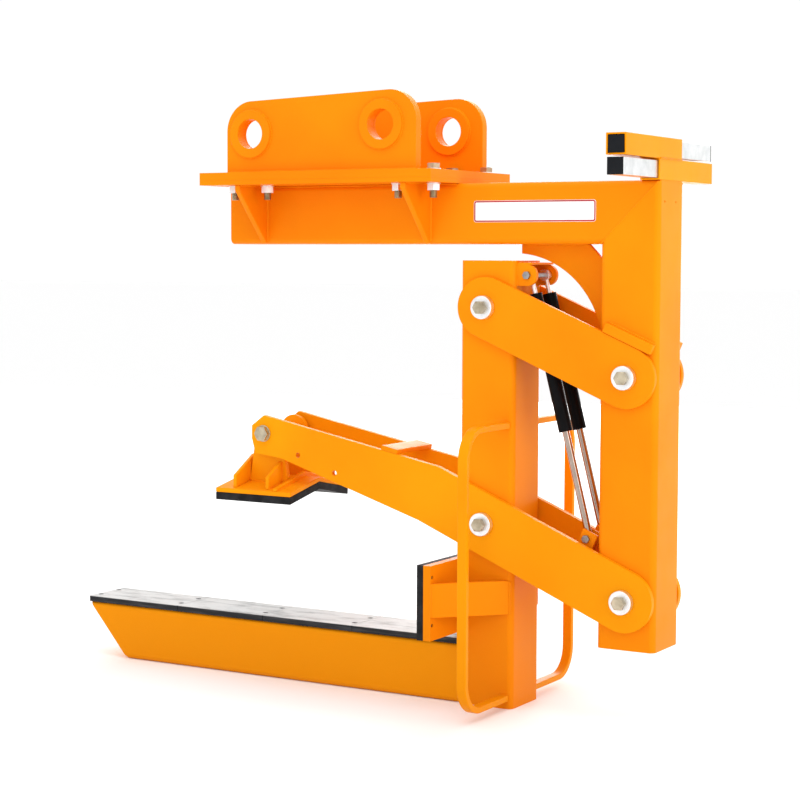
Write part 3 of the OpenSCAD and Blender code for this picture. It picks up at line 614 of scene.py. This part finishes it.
def beadMesh(whole, radius, points, seed):
    samples = walkLine(points, beads["step"] / 1000)
    last = len(samples) - 1
    bm = bmesh.new()
    before = []
    for i, here in enumerate(samples):
        along = (samples[min(i + 1, last)] - samples[max(i - 1, 0)]).normalized()
        helper = Vector((0.31, 0.17, 0.93)) if abs(along.z) < 0.8 else Vector((1, 0.2, 0.1))
        side = along.cross(helper).normalized()
        phase = (i * beads["step"] / beads["pitch"] + seed * 0.37) % 1
        end = min(1, (0.4 + i) / 1.6, (0.4 + last - i) / 1.6)
        wander = 0.06 * math.sin(i * 0.21 + seed) + 0.04 * math.sin(i * 0.057 + seed * 2)
        thick = radius / 1000 * (0.86 + 0.2 * phase + wander) * (0.45 + 0.55 * end)
        turn = Matrix((side, along.cross(side), along)).transposed().to_4x4()
        ring = bmesh.ops.create_circle(bm, cap_ends=i in (0, last), segments=beads["sides"], radius=thick,
                                       matrix=Matrix.Translation(here) @ turn)["verts"]
        loop = list(dict.fromkeys(edge for vert in ring for edge in vert.link_edges))
        if before:
            bmesh.ops.bridge_loops(bm, edges=before + loop)
        before = loop
    addTo(whole, bm)


def ringPoints(x, y, z, radius, count=72):
    angles = [2 * math.pi * i / count for i in range(count + 1)]
    return [(x + radius * math.cos(a), y, z + radius * math.sin(a)) for a in angles]


# the faces that the beads run along, in millimetres
planes = dict(side=75, mastLeft=703.7, mastRight=853.7, beamLow=1150, beamTop=1300, plateTop=1332,
              earOut=185, earIn=160, postLeft=326.3, postRight=476.3)
webs = dict(sideGusset=7.5, cornerGusset=6)  # half of each thickness
bosses = dict(centres=((162.7, 1443), (-224.3, 1429.2)), radius=61)


def frameWelds():
    side, top, plate = planes["side"], planes["beamTop"], planes["plateTop"]
    left, right, low = planes["mastLeft"], planes["mastRight"], planes["beamLow"]
    for x in fasteners["plateX"]:
        for face in (x - webs["sideGusset"], x + webs["sideGusset"]):
            for s in (-1, 1):
                weld("frame", 3.2, (face, s * side, low + 6), (face, s * side, top - 4))
                weld("frame", 3.2, (face, s * (side + 4), top), (face, s * (side + 124), top))
    for s in (-1, 1):
        weld("frame", 3.4, (-362, s * 68, top - 3), (312, s * 68, top - 3))
        weld("frame", 3.6, (-299, s * planes["earOut"], plate), (260, s * planes["earOut"], plate))
        weld("frame", 2.6, (-299, s * planes["earIn"], plate), (260, s * planes["earIn"], plate))
        for x in (-299.3, 260.7):
            weld("frame", 3.0, (x, s * 162, plate), (x, s * 183, plate))
        for x, z in bosses["centres"]:
            for y in (planes["earOut"], planes["earIn"]):
                weld("frame", 2.6, *ringPoints(x, s * y, z, bosses["radius"]))
        web = s * webs["cornerGusset"]
        weld("frame", 3.0, (466, web, low), (640, web, low))
        weld("frame", 3.0, (left, web, 912), (left, web, 1086))
        weld("frame", 3.2, (729, s * side, 965), (849, s * side, 914))
        weld("frame", 1.9, (704, s * 74.2, 1150.3), (850, s * 74.2, 1296.3))
    weld("frame", 3.0, (803.7, -60, top), (803.7, 60, top))
    weld("frame", 2.6, (803.7, -74, top + 50), (803.7, 59, top + 50))
    weld("frame", 2.6, (right, -74, top + 50), (right, 59, top + 50))


heelBrace = dict(low=240, high=320, inside=202, outside=218)
strutLug = dict(inside=50.5, outside=60.5, low=1050, high=1098, plate=1105.2)


def carriageWelds():
    side, left, right = planes["side"], planes["postLeft"], planes["postRight"]
    low, high = heelBrace["low"], heelBrace["high"]
    for s in (-1, 1):
        weld("carriage", 2.2, (left, s * 74.4, 14), (left, s * 74.4, 136))
        weld("carriage", 3.6, (left - 1.3, s * 69, 184), (left - 1.3, s * 69, 362))
        weld("carriage", 3.0, (470, s * side, low), (470, s * side, high))
        for y in (heelBrace["outside"], heelBrace["inside"]):
            weld("carriage", 3.0, (left, s * y, low), (left, s * y, high))
        for z in (35, 699, 714):  # where the handles meet the post
            weld("carriage", 2.6, (444, s * side, z), (467, s * side, z))
        for y in (strutLug["inside"], strutLug["outside"]):
            weld("carriage", 2.4, (right, s * y, strutLug["low"]), (right, s * y, strutLug["high"]))
    weld("carriage", 2.4, (right, -58, strutLug["plate"]), (right, 58, strutLug["plate"]))


# the anchor plate between the levers: its centre, tilt in degrees, half width and its two faces
anchor = dict(x=667.7, z=439, tilt=23, half=28, faces=(-34, -46), end=76)


def leverWelds():
    a = anchor
    c, t = math.cos(math.radians(a["tilt"])), math.sin(math.radians(a["tilt"]))
    for s in (-1, 1):
        for face in a["faces"]:
            ends = [(a["x"] + off * c + face * t, s * a["end"], a["z"] - off * t + face * c)
                    for off in (-a["half"], a["half"])]
            weld("lever", 2.6, *ends)


# the shoe's back plate falls away from its ridge to both sides
shoeRoof = dict(ridge=536.2, fall=0.1972)
shoeEars = dict(outside=66, inside=52, reach=57, hub=21)


def onRoof(x, y, lift=0):
    return shoePin["tip"][0] + x, y, shoeRoof["ridge"] - shoeRoof["fall"] * abs(y) + lift


def shoeWelds():
    tipX, tipZ = shoePin["tip"]
    out, reach = shoeEars["outside"], shoeEars["reach"]
    for s in (-1, 1):
        for y in (shoeEars["inside"], out):
            weld("shoe", 2.8, onRoof(-reach, s * y), onRoof(reach, s * y))
        weld("shoe", 2.2, *ringPoints(tipX, s * shoeEars["inside"], tipZ, shoeEars["hub"], 36))
        for x in (-70, 32, 42):
            weld("shoe", 2.8, onRoof(x, s * 128), onRoof(x, s * 68))
        for x in (32, 42):
            weld("shoe", 2.4, onRoof(x, s * out, 4), onRoof(x, s * out, 56))
        weld("shoe", 2.4, onRoof(-60, s * out, 3), onRoof(-60, s * out, 50))
        for x in (62, 74):
            weld("shoe", 2.2, onRoof(x, s * 136), onRoof(x, 0))


def buildWelds():
    frameWelds()
    carriageWelds()
    leverWelds()
    shoeWelds()
    for body, lines in weldLines.items():
        bm = bmesh.new()
        for seed, (radius, points) in enumerate(lines):
            beadMesh(bm, radius, points, seed)
        sharpPiece(body + "_welds", bm, finishes["paint"], body, sharp=80)


finishes = makeMaterials()
setCamera()
setStudio()
print("studio set")
finishCadParts()
print("CAD parts finished")
buildPlateBolts()
buildCapBolts("mast_cap_bolts", "frame", fasteners["mastX"], fasteners["mastZs"])
buildCapBolts("carriage_cap_bolts", "carriage", fasteners["postX"], fasteners["postZs"])
buildShoePin()
print("fasteners built")
buildLabel()
buildPadTiles()
buildStruts()
print("label, pad and struts built")
buildWelds()
print("welds laid")

bpy.context.view_layer.update()
